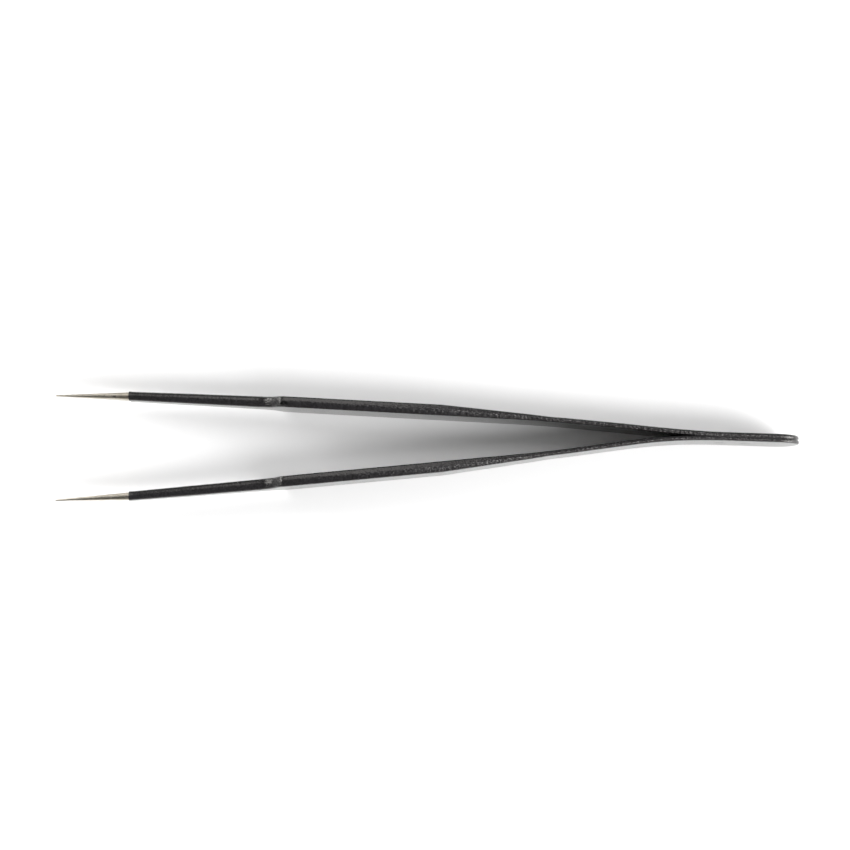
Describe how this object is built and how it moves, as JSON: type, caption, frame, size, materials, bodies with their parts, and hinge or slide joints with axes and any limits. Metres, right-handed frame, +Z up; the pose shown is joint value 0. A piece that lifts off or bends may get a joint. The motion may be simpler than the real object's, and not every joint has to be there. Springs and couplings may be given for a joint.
{
  "type": "precision tweezers",
  "caption": "Straight shouldered tweezers with sprung steel arms welded at a rounded heel, a black coating and bare steel points.",
  "frame": {"origin": "under the middle of the tweezers' box, on the surface that their side edges lie on", "axes": "+X from the points to the heel, +Y across the opening of the arms, +Z up along the blades' width"},
  "size_m": [0.14, 0.0206, 0.0094],
  "materials": {
    "steel": "ground satin stainless steel",
    "coating": "satin black epoxy"
  },
  "bodies": {
    "heel": {"upper_heel_blade": "steel", "lower_heel_blade": "steel", "front_spot_weld": "steel", "rear_spot_weld": "steel", "heel_coat": "coating"},
    "upper_arm": {"upper_arm_blade": "steel", "upper_arm_coat": "coating"},
    "lower_arm": {"lower_arm_blade": "steel", "lower_arm_coat": "coating"}
  },
  "joints": [
    {"name": "upper_arm_flex", "type": "hinge", "parent": "heel", "child": "upper_arm", "pos_m": [0.04, 0.00124, 0.0047], "axis": [0, 0, 1], "range_deg": [0, 5.05], "stiffness_Nm_per_rad": 1.14},
    {"name": "lower_arm_flex", "type": "hinge", "parent": "heel", "child": "lower_arm", "pos_m": [0.04, -0.0013, 0.0047], "axis": [0, 0, -1], "range_deg": [0, 5.05], "stiffness_Nm_per_rad": 1.14}
  ]
}
